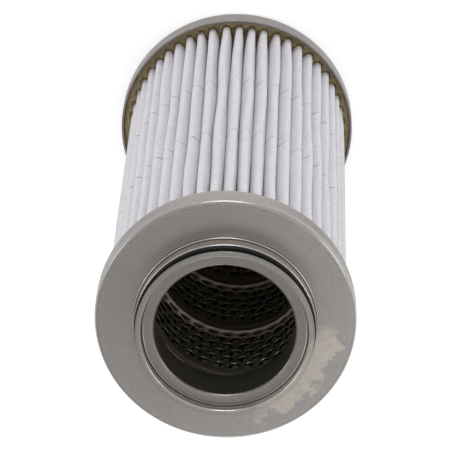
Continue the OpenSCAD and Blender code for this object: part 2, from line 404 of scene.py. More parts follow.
def lockSeam(start):
    # the raised band, with its step facing the neck and small scallops where the first row runs past it
    height, width = tube["seamHeight"] * mm, tube["seamWidth"] * mm
    overrun = tube["seamOverrun"] * mm
    verts, faces, crest = [], [], []
    aLow = seamAngle + 2 * math.pi * (tubeLow.z - seamZ - overrun) / pitch
    aHigh = seamAngle + 2 * math.pi * (tubeHigh.z - seamZ + width + overrun) / pitch
    steps = int((aHigh - aLow) / (2 * math.pi) * tube["seamPointsPerTurn"])
    for i in range(steps + 1):
        a = aLow + (aHigh - aLow) * i / steps
        u = ((a / column + 1) % 2 - 1) * column * boreR
        cut = tube["scallop"] * mm * math.cos(math.pi * u / (2 * column * boreR)) ** 2
        for s, h, shine in seamSection:
            w = -cut * (1 - min(1.0, s / 0.2)) - s * width
            verts.append(onTube(boreR - h * height, a, seamAt(a) + w))
            crest.append(shine)
    n = len(seamSection)
    for i in range(steps):
        for j in range(n - 1):
            p = start + i * n + j
            faces.append([p, p + n, p + n + 1, p + 1])
    return verts, faces, crest


stripVerts, stripFaces, stripWear, stripCut = perforatedStrip()
seamVerts, seamFaces, seamCrest = lockSeam(len(stripVerts))
stripNone, seamNone = [0.0] * len(stripVerts), [0.0] * len(seamVerts)
tubePiece = meshObject("centreTube", stripVerts + seamVerts, stripFaces + seamFaces,
                       wear=stripWear + seamNone, cut=stripCut + seamNone, crest=stripNone + seamCrest)
trimmed = bmesh.new()
trimmed.from_mesh(tubePiece.data)
for z, direction in ((tubeLow.z, -1), (tubeHigh.z, 1)):
    bmesh.ops.bisect_plane(trimmed, geom=trimmed.verts[:] + trimmed.edges[:] + trimmed.faces[:],
                           plane_co=(0, 0, z), plane_no=(0, 0, direction), clear_outer=True)
bmesh.ops.recalc_face_normals(trimmed, faces=trimmed.faces)
trimmed.to_mesh(tubePiece.data)
trimmed.free()
tubePiece.data.set_sharp_from_angle(angle=math.radians(tube["sharpAngle"]))
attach(tubePiece, "root")
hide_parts("centre_tube")
print("centre tube made,", len(tubePiece.data.polygons), "faces")


# the pleats: three layers folded together, fleece outside, filter media, support mesh inside

pleats = dict(count=51, fleece=0.5, media=0.4, supportMesh=0.4, rootSpacing=0.6, rootGap=0.1,
              tipFold=1.55, cheekFold=1.5, cheekDepth=4.4, gapMid=0.04, gapEnd=1.6, endReach=15, tipOut=0.1,
              eccentric=1.0, eccentricTurn=0.6, tipPoints=6, cheekPoints=3, rootPoints=4, clothApart=40.0,
              endLevels=(0, 0.15, 0.35, 0.6, 1, 1.5, 2.2), endZone=45, fleeceLevels=22, innerLevels=12)
# how much the folds differ from each other and along their length
folds = dict(gap=0.12, gapAtEnd=2, angle=0.48, tip=0.3, slowTip=0.5, steadyTip=(-1, 0.2), lean=0.5,
             leanLost=0.6, knots=6, seed=23)

rng = np.random.RandomState(folds["seed"])
count = pleats["count"]
packT = (pleats["fleece"] + pleats["media"] + pleats["supportMesh"]) * mm
tipR = packHigh.x
rootR = tubeR + pleats["rootGap"] * mm
halfStep = math.pi / count
rootFold = (rootR * math.sin(halfStep) - pleats["rootSpacing"] * mm / 2) / (1 - math.sin(halfStep))
rootCentre = rootR + rootFold
foldAngle = smoothNoise(rng, count, folds["knots"], math.radians(folds["angle"]))
foldGap = smoothNoise(rng, count, folds["knots"], folds["gap"] * mm)
tipShift = smoothNoise(rng, count, folds["knots"], folds["tip"] * mm)
steadyShift = rng.uniform(*folds["steadyTip"], size=count) * folds["tip"] * mm
foldLean = smoothNoise(rng, count, folds["knots"], folds["lean"] * mm)
tipFold, cheekFold = pleats["tipFold"] * mm, pleats["cheekFold"] * mm
cheekX = tipR - pleats["cheekDepth"] * mm
tipMid, cheekMid, rootMid = tipFold - packT / 2, cheekFold - packT / 2, rootFold - packT / 2


def foldShape(z):
    # where each pleat's folds lie at height z: angles of the pleat and of the valley after it,
    # half its width, the middle of its tip, its lean, and how far its cheeks stand to the sides
    t = np.float64((z - packLow.z) / (packHigh.z - packLow.z))
    fromEnd = min(z - resinTop, openResinZ - z) / mm
    atEnd = math.exp(-max(fromEnd, 0) / pleats["endReach"])
    valley = (np.arange(count) + 0.5) * 2 * halfStep + along(foldAngle, t)
    before = np.roll(valley, 1)
    before[0] -= 2 * math.pi
    middle = (valley + before) / 2
    halfWidth = (valley - before) / 2
    gap = (pleats["gapMid"] + (pleats["gapEnd"] - pleats["gapMid"]) * atEnd) * mm
    gap = gap + np.abs(along(foldGap, t)) * (1 + folds["gapAtEnd"] * atEnd)
    sides = []
    for room in (gap, np.roll(gap, 1)):
        sides.append((cheekX * np.sin(halfWidth) - cheekFold - room / 2) / np.cos(halfWidth))
    shift = along(tipShift, t) * folds["slowTip"] + steadyShift
    offAxis = pleats["eccentric"] * mm * (1 + np.cos(middle - pleats["eccentricTurn"])) / 2
    reach = tipR + pleats["tipOut"] * mm + shift - offAxis
    lean = along(foldLean, t) * (1 - folds["leanLost"] * atEnd)
    return middle, valley, halfWidth, reach - tipFold, lean, sides


def tangentAngle(fromX, fromY, toX, toY, difference):
    # direction that the line touching two folds faces
    dx, dy = toX - fromX, toY - fromY
    return math.atan2(dy, dx) - math.acos(max(-1.0, min(1.0, difference / math.hypot(dx, dy))))


def foldedLoop(z, d):
    # one level of the folded line, d outside the middle of the pack
    middle, valley, halfWidth, tipX, lean, sides = foldShape(z)
    nTip, nCheek, nRoot = pleats["tipPoints"], pleats["cheekPoints"], pleats["rootPoints"]
    loop = []

    def arcPoints(i, x, y, radius, a0, a1, steps):
        c, s = math.cos(middle[i]), math.sin(middle[i])
        for k in range(steps + 1):
            a = a0 + (a1 - a0) * k / steps
            px, py = x + radius * math.cos(a), y + radius * math.sin(a)
            loop.append((px * c - py * s, px * s + py * c))

    turns = []
    for i in range(count):
        h = float(halfWidth[i])
        rootX, rootY = rootCentre * math.cos(h), rootCentre * math.sin(h)
        pair = []
        for side, out in ((1, sides[0][i]), (-1, sides[1][i])):
            flank = tangentAngle(tipX[i], lean[i] * side, cheekX, out, tipMid - cheekMid)
            leg = tangentAngle(cheekX, out, rootX, rootY, cheekMid + rootMid)
            pair.append((flank, leg, float(out)))
        turns.append(pair)
    for i in range(count):
        (flankR, legR, outR), (flankL, legL, outL) = turns[i]
        n = (i + 1) % count
        arcPoints(i, cheekX, -outL, cheekMid + d, -legL, -flankL, nCheek)
        arcPoints(i, tipX[i], lean[i], tipMid + d, -flankL, flankR, nTip)
        arcPoints(i, cheekX, outR, cheekMid + d, flankR, legR, nCheek)
        lastCheek = np.array(loop[-1])
        root = len(loop)
        nextMiddle = middle[n] + (2 * math.pi if n == 0 else 0)
        a0, a1 = middle[i] + legR + math.pi, nextMiddle - turns[n][1][1] + math.pi
        for k in range(nRoot + 1):
            a = a0 + (a1 - a0) * k / nRoot
            loop.append((rootCentre * math.cos(valley[i]) + (rootMid - d) * math.cos(a),
                         rootCentre * math.sin(valley[i]) + (rootMid - d) * math.sin(a)))
        loop.insert(root, tuple(lastCheek * 0.5 + np.array(loop[root]) * 0.5))
    return loop


def spreadAlong(loop):
    # distance along the cloth from the middle of the nearest tip, in mm, told apart from pleat to pleat
    points = np.array(loop)
    perPleat = len(loop) // count
    steps = np.linalg.norm(np.roll(points, -1, axis=0) - points, axis=1)
    reached = np.concatenate(([0.0], np.cumsum(steps)))
    tipIndex = pleats["cheekPoints"] + 1 + pleats["tipPoints"] // 2
    rootIndex = perPleat - 1 - pleats["rootPoints"] // 2
    spread = []
    for k in range(len(loop)):
        i = k // perPleat + (1 if k % perPleat > rootIndex else 0)
        tipAt = reached[i * perPleat + tipIndex] if i < count else reached[-1] + reached[tipIndex]
        spread.append(((reached[k] - tipAt) / mm) + pleats["clothApart"] * (i % count))
    return spread


def foldedLayer(name, inside, outside, levels):
    verts, faces, spread = [], [], []
    for d in (outside, inside):
        for z in levels:
            loop = foldedLoop(z, d)
            verts += [(x, y, z) for x, y in loop]
            spread += spreadAlong(loop)
    n = len(verts) // (2 * len(levels))
    for wallNumber in (0, 1):
        base = wallNumber * n * len(levels)
        for j in range(len(levels) - 1):
            for i in range(n):
                k = (i + 1) % n
                face = [base + j * n + i, base + j * n + k, base + (j + 1) * n + k, base + (j + 1) * n + i]
                faces.append(face[::-1] if wallNumber else face)
    top, under = (len(levels) - 1) * n, n * len(levels)
    for i in range(n):
        k = (i + 1) % n
        faces.append([under + i, under + k, k, i])
        faces.append([top + i, top + k, under + top + k, under + top + i])
    return meshObject(name, verts, faces, 60, spread=spread)


def packLevels(steps, dense):
    # heights of the rings of points, with more of them near the resin in a dense layer
    low, high, ends = packLow.z, packHigh.z, []
    if dense:
        ends = [resinTop + pleats["endReach"] * mm * f for f in pleats["endLevels"]]
        low, high = resinTop + pleats["endZone"] * mm, openResinZ - pleats["endZone"] * mm
    levels = [packLow.z, packHigh.z] + ends + [faceZ - z for z in ends] + list(np.linspace(low, high, steps))
    return sorted(set(round(z, 7) for z in levels))


fleeceIn, mediaIn = packT / 2 - pleats["fleece"] * mm, pleats["supportMesh"] * mm - packT / 2
fleeceLevels = packLevels(pleats["fleeceLevels"], True)
innerLevels = packLevels(pleats["innerLevels"], False)
layers = [("outerFleece", "outer_fleece", "fleece", fleeceIn, packT / 2, fleeceLevels),
          ("filterMedia", "filter_media", "media", mediaIn, fleeceIn, innerLevels),
          ("innerSupportMesh", "inner_support_mesh", "support_mesh", -packT / 2, mediaIn, innerLevels)]
pleatPieces = {}
for name, node, slotName, inside, outside, levels in layers:
    piece = foldedLayer(name, inside, outside, levels)
    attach(piece, "root")
    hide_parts(node)
    pleatPieces[name] = piece
    print(name, "made,", len(piece.data.polygons), "faces")


# the resin in both caps, drawn up a little round every pleat and along the skirt

resin = dict(climb=1.5, climbReach=0.6, climbFrom=42.5, edgeClimb=0.7, edgeReach=0.5, ripple=0.05, ripples=7,
             ripplePhase=1.3, boreInset=0.5, boreRings=6, rootTo=43.0, rootRings=5, tipFrom=43.6, tipRings=26,
             perPleat=26)


def resinPiece(name, node, atTop):
    skirtR = capR - sheetT
    surface = openResinZ if atTop else resinTop
    away = -1 if atTop else 1
    backZ = faceZ - sheetT if atTop else sheetT
    middle, _, _, tipX, lean, sides = foldShape(surface)
    cheekHalf = (sides[0] + sides[1]) / 2 + cheekFold
    innerR = sleeveR if atTop else 0.0
    radii = list(np.linspace(innerR, tubeR - resin["boreInset"] * mm, resin["boreRings"])) \
        + list(np.linspace(tubeR, resin["rootTo"] * mm, resin["rootRings"])) \
        + list(np.linspace(resin["tipFrom"] * mm, skirtR, resin["tipRings"]))
    step = resin["perPleat"]
    nA = count * step
    angles = np.arange(nA) * 2 * math.pi / nA
    nearest = np.abs((angles[:, None] - middle[None, :] + math.pi) % (2 * math.pi) - math.pi).argmin(1)
    local = (angles - middle[nearest] + math.pi) % (2 * math.pi) - math.pi
    verts, faces, climbs = [], [], []
    for r in radii:
        x, y = r * np.cos(local), r * np.sin(local)
        towardsTip = np.clip((x - cheekX) / (tipX[nearest] - cheekX), 0, 1)
        half = cheekHalf[nearest] + (tipFold - cheekHalf[nearest]) * towardsTip
        beyond = np.maximum(x - tipX[nearest], 0.0)
        distance = np.maximum(np.hypot(beyond, y - lean[nearest] * towardsTip) - half, 0.0)
        rise = 0 * angles
        if r > resin["climbFrom"] * mm:
            rise = resin["climb"] * mm * np.exp(-distance / (resin["climbReach"] * mm))
        rise = rise + resin["edgeClimb"] * mm * math.exp(-(skirtR - r) / (resin["edgeReach"] * mm))
        waves = np.sin(angles * resin["ripples"] + resin["ripplePhase"])
        rise = rise + resin["ripple"] * mm * waves * (r / capR)
        for a, h in zip(angles, rise):
            verts.append((r * math.cos(a), r * math.sin(a), surface + away * h))
            climbs.append(h / mm)
    rings = len(radii)
    for j in range(rings - 1):
        for i in range(nA):
            k = (i + 1) % nA
            face = [j * nA + i, (j + 1) * nA + i, (j + 1) * nA + k, j * nA + k]
            faces.append(face[::-1] if atTop else face)
    # the rest of the casting: its outside against the skirt and its back against the cap
    back = len(verts)
    for r in (skirtR, innerR):
        for a in angles[::step]:
            verts.append((r * math.cos(a), r * math.sin(a), backZ))
            climbs.append(0)
    for i in range(count):
        k = (i + 1) % count
        rimPoints = [(rings - 1) * nA + (i * step + q) % nA for q in range(step + 1)]
        side = rimPoints + [back + k, back + i]
        faces.append(side if atTop else side[::-1])
        lower = [back + i, back + k, back + count + k, back + count + i]
        faces.append(lower if atTop else lower[::-1])
    piece = meshObject(name, verts, faces, 50, climb=climbs)
    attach(piece, "root")
    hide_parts(node)
    print(name, "made,", len(piece.data.polygons), "faces")
    return piece


closedResin = resinPiece("closedEndPotting", "closed_end_potting", False)
openResin = resinPiece("openEndPotting", "open_end_potting", True)


# node helpers

def put(tree, kind, inputs=None, **settings):
    made = tree.nodes.new(kind)
    for key, value in settings.items():
        setattr(made, key, value)
    for key, value in (inputs or {}).items():
        if isinstance(value, bpy.types.NodeSocket):
            tree.links.new(value, made.inputs[key])
        else:
            made.inputs[key].default_value = value
    return made


def maths(tree, operation, a, b=0.0, clamp=False):
    return put(tree, "ShaderNodeMath", {0: a, 1: b}, operation=operation, use_clamp=clamp).outputs[0]


def times(tree, a, b):
    return maths(tree, "MULTIPLY", a, b)


def plus(tree, a, b, clamp=False):
    return maths(tree, "ADD", a, b, clamp)


def minus(tree, a, b):
    return maths(tree, "SUBTRACT", a, b)


def greater(tree, a, b):
    return maths(tree, "MAXIMUM", a, b)


def sized(tree, a):
    return maths(tree, "ABSOLUTE", a)


def divided(tree, vector, size):
    return put(tree, "ShaderNodeVectorMath", {0: vector, 1: size}, operation="DIVIDE").outputs[0]


def marked(tree, layerName):
    return put(tree, "ShaderNodeAttribute", attribute_name=layerName).outputs["Fac"]


def apart(tree, vector):
    return put(tree, "ShaderNodeSeparateXYZ", {0: vector}).outputs


def joined(tree, x=0.0, y=0.0, z=0.0):
    return put(tree, "ShaderNodeCombineXYZ", {0: x, 1: y, 2: z}).outputs[0]


def fromAxis(tree, parts):
    # distance from the element's axis
    level = joined(tree, parts[0], parts[1])
    return put(tree, "ShaderNodeVectorMath", {0: level}, operation="LENGTH").outputs["Value"]


def inDirection(tree, where, direction):
    # how far a point lies in a level direction
    inputs = {0: where, 1: direction + (0.0,)}
    return put(tree, "ShaderNodeVectorMath", inputs, operation="DOT_PRODUCT").outputs["Value"]


def ranged(tree, value, low, high, toLow=0.0, toHigh=1.0, smooth=True):
    kind = "SMOOTHSTEP" if smooth else "LINEAR"
    inputs = {"Value": value, "From Min": low, "From Max": high, "To Min": toLow, "To Max": toHigh}
    return put(tree, "ShaderNodeMapRange", inputs, interpolation_type=kind).outputs["Result"]


def mixed(tree, factor, a, b):
    return put(tree, "ShaderNodeMix", {0: factor, 6: a, 7: b}, data_type="RGBA").outputs[2]


def noise(tree, vector, scale, detail=3.0, roughness=0.55, distortion=0.0):
    inputs = {"Vector": vector, "Scale": scale, "Detail": detail, "Roughness": roughness,
              "Distortion": distortion}
    return put(tree, "ShaderNodeTexNoise", inputs).outputs["Fac"]


def millimetres(tree):
    # the object's own coordinates, in millimetres
    where = put(tree, "ShaderNodeTexCoord").outputs["Object"]
    return put(tree, "ShaderNodeVectorMath", {0: where, "Scale": 1 / mm}, operation="SCALE").outputs[0]


def effectGroup(name, result, **values):
    # a shared effect: a place and some numbers go in, one value comes out
    group = bpy.data.node_groups.new(name, "ShaderNodeTree")
    group.interface.new_socket("Vector", in_out="INPUT", socket_type="NodeSocketVector")
    for label, value in values.items():
        socket = group.interface.new_socket(label, in_out="INPUT", socket_type="NodeSocketFloat")
        socket.default_value = value
    group.interface.new_socket(result, in_out="OUTPUT", socket_type="NodeSocketFloat")
    inputs = group.nodes.new("NodeGroupInput").outputs
    scaled = divided(group, inputs["Vector"], inputs[1])  # the first number is the effect's scale
    return group, inputs, group.nodes.new("NodeGroupOutput").inputs, scaled


def useGroup(tree, group, where, **values):
    return put(tree, "ShaderNodeGroup", dict(values, Vector=where), node_tree=group).outputs[0]


def newMaterial(name, **constants):
    material = bpy.data.materials.new(name)
    material.use_nodes = True
    tree = material.node_tree
    shader = tree.nodes["Principled BSDF"]
    for key, value in constants.items():
        shader.inputs[key.replace("_", " ")].default_value = value
    return material, tree, shader


def bumped(tree, shader, height, strength, distance):
    bump = put(tree, "ShaderNodeBump", {"Height": height, "Strength": strength, "Distance": distance})
    tree.links.new(bump.outputs["Normal"], shader.inputs["Normal"])


def finish(piece, material):
    piece.data.materials.clear()
    piece.data.materials.append(material)


# effects that several finishes share

cloudy, cloudyIn, cloudyOut, scaled = effectGroup(
    "cloudyPatches", "Mask", Size=10.0, Cover=0.5, Softness=0.15)
bent = noise(cloudy, scaled, 1.0, 5.0, 0.62, 0.6)
uncovered = minus(cloudy, 1.0, cloudyIn["Cover"])
lowEdge = minus(cloudy, uncovered, cloudyIn["Softness"])
highEdge = plus(cloudy, uncovered, cloudyIn["Softness"])
cloudy.links.new(ranged(cloudy, bent, lowEdge, highEdge), cloudyOut["Mask"])

specks, specksIn, specksOut, scaled = effectGroup("specks", "Mask", Spacing=3.0, Size=0.12, Rarity=0.6)
cells = put(specks, "ShaderNodeTexVoronoi", {"Vector": scaled, "Scale": 1.0})
picked = put(specks, "ShaderNodeSeparateColor", {0: cells.outputs["Color"]}).outputs[0]
chosen = maths(specks, "GREATER_THAN", picked, specksIn["Rarity"])
dot = maths(specks, "LESS_THAN", cells.outputs["Distance"], times(specks, specksIn["Size"], picked))
specks.links.new(times(specks, chosen, dot), specksOut["Mask"])

# edges: patchy wear, plus a steady painted highlight line along the rounded corners
edgeWearAndHighlight, wearIn, wearOut, scaled = effectGroup("edgeWearAndHighlight", "Mask", Size=1.5, Amount=0.5)
exposed = marked(edgeWearAndHighlight, "wear")
broken = noise(edgeWearAndHighlight, scaled, 1.0, 4.0, 0.65)
patchy = ranged(edgeWearAndHighlight, broken, 0.35, 0.6, 0.0, 1.0)
steady = ranged(edgeWearAndHighlight, exposed, 0.4, 1.0, 0.0, 0.9)
strongest = greater(edgeWearAndHighlight, times(edgeWearAndHighlight, patchy, 0.3), steady)
rubbedAndLit = times(edgeWearAndHighlight, exposed, strongest)
edgeWearAndHighlight.links.new(times(edgeWearAndHighlight, rubbedAndLit, wearIn["Amount"]), wearOut["Mask"])

sheetGrain, grainIn, grainOut, scaled = effectGroup("sheetGrain", "Height", Size=0.3)
fine = noise(sheetGrain, scaled, 1.0, 2.0, 0.5)
coarse = noise(sheetGrain, scaled, 0.22, 3.0, 0.6)
grainHeight = plus(sheetGrain, times(sheetGrain, fine, 0.6), times(sheetGrain, coarse, 0.8))
sheetGrain.links.new(grainHeight, grainOut["Height"])


# finishes

tide = dict(colour=(0.58, 0.525, 0.46, 1), strength=0.9, towards=(-0.788, 0.616), widest=0.80, core=0.90,
            radius=43.0, wander=9.0, sectorWander=0.3)
soilingAndShade = dict(shadedTowards=(0.73, -0.68), sideShade=0.58, brown=(0.62, 0.51, 0.43, 1), streakLength=0.08,
               soilAndShade=(0.07, 0.062, 0.055, 1), skirt=(0.105, 0.09, 0.078, 1), scuffRing=48.1)
# painted light on the tube: the crest's highlight colour, painted shade for the cut walls and the plain band,
# and where the end's highlight lies
tubeMarks = dict(crest=(0.95, 0.77, 0.62, 1), cut=(0.02, 0.018, 0.015, 1), plain=(0.05, 0.045, 0.04, 1),
                 plainFrom=2.8, plainTo=1.0, endFrom=0.6, endTo=0.3)


def tideMark(tree, where, parts):
    # a dried patch on one side of the plate, with an uneven border
    radius = fromAxis(tree, parts)
    facing = maths(tree, "DIVIDE", inDirection(tree, where, tide["towards"]), greater(tree, radius, 1.0))
    stray = minus(tree, noise(tree, where, 0.13, 5.0, 0.62), 0.5)
    border = plus(tree, tide["radius"], times(tree, stray, tide["wander"] * 2))
    within = ranged(tree, minus(tree, border, radius), -0.6, 0.9)
    facing = plus(tree, facing, times(tree, stray, tide["sectorWander"]))
    sector = ranged(tree, facing, tide["widest"], tide["core"])
    mottled = ranged(tree, noise(tree, where, 0.42, 5.0, 0.7), 0.34, 0.58, 0.65, 1.0)
    return times(tree, times(tree, within, sector), mottled)


def soiledAndShadedCap(tree, where, base, dark):
    # the open end's cap: the tide mark, painted shade darkening one side, rolled and scuffed places, a
    # painted brown reflection in streaks, and painted shade in the neck's foot notch and on the skirt's sides
    parts = apart(tree, where)
    base = mixed(tree, times(tree, tideMark(tree, where, parts), tide["strength"]), base, tide["colour"])
    # painted shade: the plate grows darker towards one side
    slope = inDirection(tree, where, soilingAndShade["shadedTowards"])
    base = mixed(tree, ranged(tree, slope, -50.0, 50.0, 0.0, soilingAndShade["sideShade"], smooth=False), base, dark)
    scuffs = ranged(tree, noise(tree, where, 2.2, 4.0, 0.75), 0.4, 0.66, 0.15, 0.6)
    base = mixed(tree, times(tree, marked(tree, "rolled"), scuffs), base, dark)
    # a painted reflection: tan streaks on the neck wall, and a little on the skirt
    streaked = joined(tree, parts[0], parts[1], times(tree, parts[2], soilingAndShade["streakLength"]))
    streaks = ranged(tree, noise(tree, streaked, 0.9, 3.0, 0.6), 0.3, 0.65, 0.55, 1.0)
    base = mixed(tree, times(tree, marked(tree, "brownReflection"), streaks), base, soilingAndShade["brown"])
    offRing = sized(tree, minus(tree, fromAxis(tree, parts), soilingAndShade["scuffRing"]))
    patchy = ranged(tree, noise(tree, where, 0.6, 5.0, 0.8), 0.46, 0.62, 0.0, 0.5)
    scuffed = times(tree, ranged(tree, offRing, 0.55, 0.1), patchy)
    scuffed = times(tree, scuffed, ranged(tree, parts[1], 8.0, -30.0))
    # dark scuffs just inside the rim, and painted shade in the notch at the neck's foot
    base = mixed(tree, greater(tree, marked(tree, "soiledAndShaded"), scuffed), base, soilingAndShade["soilAndShade"])
    # painted shade on the skirt, darker towards its left and right sides
    flankShade = ranged(tree, sized(tree, parts[0]), 8.0, 40.0, 0.0, 0.8)
    return mixed(tree, times(tree, marked(tree, "skirtSide"), flankShade), base, soilingAndShade["skirt"])


def turnedLines(tree, where, base, dark, strength):
    # fine lines round the piece, which change with height only
    level = joined(tree, z=apart(tree, where)[2])
    return mixed(tree, ranged(tree, noise(tree, level, 0.9, 4.0, 0.7), 0.42, 0.62, 0.0, strength), base, dark)


def flangeEdge(tree, where, base, rubbedAndLit, ringR):
    # a painted highlight on the flange's edge on one half, and the joint outside it is dark
    parts = apart(tree, where)
    off = minus(tree, fromAxis(tree, parts), ringR)
    ring = ranged(tree, sized(tree, off), 0.3, 0.12)
    ring = times(tree, ring, ranged(tree, parts[1], -12.0, 12.0, 0.0, 0.9))
    base = mixed(tree, ranged(tree, off, 0.2, 0.3, 0.0, 0.8), base, soilingAndShade["soilAndShade"])
    return base, greater(tree, rubbedAndLit, ring)


def tubeEdges(tree, where, base, wornAndLit):
    # a painted highlight on the seam's crest, painted shade on the cut wall of each perforation and on the
    # plain band below the tube's upper end, and a painted highlight on that end
    base = mixed(tree, marked(tree, "crest"), base, tubeMarks["crest"])
    base = mixed(tree, marked(tree, "cut"), base, tubeMarks["cut"])
    height = apart(tree, where)[2]
    plainFrom, plainTo = openResinZ / mm - tubeMarks["plainFrom"], openResinZ / mm - tubeMarks["plainTo"]
    base = mixed(tree, ranged(tree, height, plainFrom, plainTo, 0.0, 0.85), base, tubeMarks["plain"])
    endFrom, endTo = tubeHigh.z / mm - tubeMarks["endFrom"], tubeHigh.z / mm - tubeMarks["endTo"]
    return mixed(tree, ranged(tree, height, endFrom, endTo, 0.0, 0.8), base, wornAndLit)


def steelFinish(name, colour, stain, dark, roughness, stainSize, stainCover, speckRarity, wearAmount,
                grain=0.25, wornAndLit=(0.95, 0.94, 0.92, 1), metallic=0.8, wornSheen=-0.18, soiledAndShaded=False,
                crest=False, lines=0.0, brightRing=None):
    material, tree, shader = newMaterial(name, Metallic=metallic)
    where = millimetres(tree)
    patch = useGroup(tree, cloudy, where, Size=stainSize, Cover=stainCover, Softness=0.16)
    haze = useGroup(tree, cloudy, where, Size=stainSize * 0.31, Cover=0.5, Softness=0.22)
    dots = useGroup(tree, specks, where, Spacing=1.2, Size=0.17, Rarity=speckRarity)
    rubbedAndLit = useGroup(tree, edgeWearAndHighlight, where, Size=1.2, Amount=wearAmount)
    base = mixed(tree, times(tree, patch, 0.6), colour, stain)
    base = mixed(tree, times(tree, haze, 0.08), base, dark)
    base = mixed(tree, ranged(tree, noise(tree, where, 1.3, 4.0, 0.7), 0.36, 0.64, 0.0, 0.28), base, dark)
    if soiledAndShaded:
        base = soiledAndShadedCap(tree, where, base, dark)
    if lines:
        base = turnedLines(tree, where, base, dark, lines)
    base = mixed(tree, times(tree, dots, 0.7), base, dark)
    if brightRing:
        base, rubbedAndLit = flangeEdge(tree, where, base, rubbedAndLit, brightRing)
    # worn edges and painted highlights along corners, in a pale colour
    base = mixed(tree, rubbedAndLit, base, wornAndLit)
    # the seam's step: a painted highlight, pale and matt
    if crest:
        base = tubeEdges(tree, where, base, wornAndLit)
        bright = marked(tree, "crest")
        rubbedAndLit = greater(tree, rubbedAndLit, bright)
        tree.links.new(times(tree, minus(tree, 1.0, bright), metallic), shader.inputs["Metallic"])
    tree.links.new(base, shader.inputs["Base Color"])
    rough = plus(tree, roughness - 0.02, times(tree, haze, 0.03))
    rough = plus(tree, rough, times(tree, patch, 0.02))
    rough = plus(tree, rough, times(tree, rubbedAndLit, wornSheen), clamp=True)
    tree.links.new(rough, shader.inputs["Roughness"])
    height = useGroup(tree, sheetGrain, where, Size=0.35)
    bumped(tree, shader, height, grain, 0.00006)
    return material


def fleeceFinish():
    look = dict(colour=(0.73, 0.715, 0.74, 1), shade=(0.56, 0.55, 0.59, 1), valleyShade=(0.30, 0.28, 0.27, 1),
                tracer=(0.26, 0.33, 0.56, 1), endShadeReach=(10.0, 40.0), lines=(70.0, 128.0), lineTilt=0.07,
                lineHalf=0.4, lineWander=4.0)
    material, tree, shader = newMaterial(
        "pleatFleece", Roughness=0.92, Sheen_Weight=0.15, Sheen_Roughness=0.6)
    where = millimetres(tree)
    parts = apart(tree, where)
    depth = minus(tree, tipR / mm, fromAxis(tree, parts))
    spread = marked(tree, "spread")
    fibres = []
    for lean, run, across in ((0.75, 0.16, 1.35), (-0.9, 0.22, 1.9)):
        longways = plus(tree, times(tree, spread, lean), parts[2])
        sideways = minus(tree, spread, times(tree, parts[2], lean))
        stretched = joined(tree, times(tree, longways, run), times(tree, sideways, across))
        fibres.append(noise(tree, stretched, 1.0, 3.0, 0.6))
    fibre = plus(tree, times(tree, fibres[0], 0.65), times(tree, fibres[1], 0.35))
    soft = noise(tree, where, 0.09, 2.0, 0.5)
    tone = times(tree, ranged(tree, fibre, 0.4, 0.6), 0.65)
    base = mixed(tree, tone, look["colour"], look["shade"])
    base = mixed(tree, times(tree, ranged(tree, soft, 0.45, 0.7), 0.18), base, look["shade"])
    # painted shade in the valleys between the pleats, darker with depth and strongest near the closed end
    nearEnd = minus(tree, parts[2], look["endShadeReach"][0])
    nearEnd = ranged(tree, nearEnd, 0.0, look["endShadeReach"][1], 0.9, 0.5)
    base = mixed(tree, times(tree, ranged(tree, depth, 2.0, 6.0), nearEnd), base, look["valleyShade"])
    stray = minus(tree, noise(tree, where, 0.16, 2.0, 0.5), 0.5)
    wander = times(tree, stray, look["lineWander"])
    tilt = times(tree, parts[0], look["lineTilt"])
    strength = 0.0
    for height in look["lines"]:
        line = plus(tree, plus(tree, height, tilt), wander)
        away = sized(tree, minus(tree, parts[2], line))
        one = ranged(tree, away, look["lineHalf"] * 1.6, look["lineHalf"] * 0.5)
        strength = plus(tree, strength, one)
    faded = ranged(tree, depth, 0.3, 1.5, 0.45, 1.0)
    strength = times(tree, times(tree, strength, faded), ranged(tree, fibre, 0.3, 0.55, 0.5, 1.0))
    base = mixed(tree, strength, base, look["tracer"])
    tree.links.new(base, shader.inputs["Base Color"])
    bumped(tree, shader, fibre, 0.35, 0.00025)
    return material


def resinFinish():
    look = dict(colour=(0.39, 0.30, 0.15, 1), deep=(0.13, 0.10, 0.038, 1), pale=(0.62, 0.53, 0.34, 1))
    material, tree, shader = newMaterial("castResin", IOR=1.5)
    where = millimetres(tree)
    climb = marked(tree, "climb")
    clouds = useGroup(tree, cloudy, where, Size=5.0, Cover=0.5, Softness=0.2)
    bubblesAndGlints = useGroup(tree, specks, where, Spacing=1.1, Size=0.38, Rarity=0.76)
    base = mixed(tree, times(tree, clouds, 0.5), look["colour"], look["deep"])
    # painted shade in the crease where the resin climbs round the pleats and the skirt
    base = mixed(tree, ranged(tree, climb, 0.25, 0.7, 0.0, 0.7), base, look["deep"])
    # pale bubbles, which also stand for painted glints on the resin
    base = mixed(tree, times(tree, bubblesAndGlints, 0.7), base, look["pale"])
    tree.links.new(base, shader.inputs["Base Color"])
    tree.links.new(ranged(tree, clouds, 0.0, 1.0, 0.14, 0.3), shader.inputs["Roughness"])
    lumps = times(tree, noise(tree, where, 0.5, 2.0, 0.5), 0.8)
    lumps = plus(tree, lumps, times(tree, bubblesAndGlints, 0.3))
    bumped(tree, shader, lumps, 0.3, 0.0004)
    return material


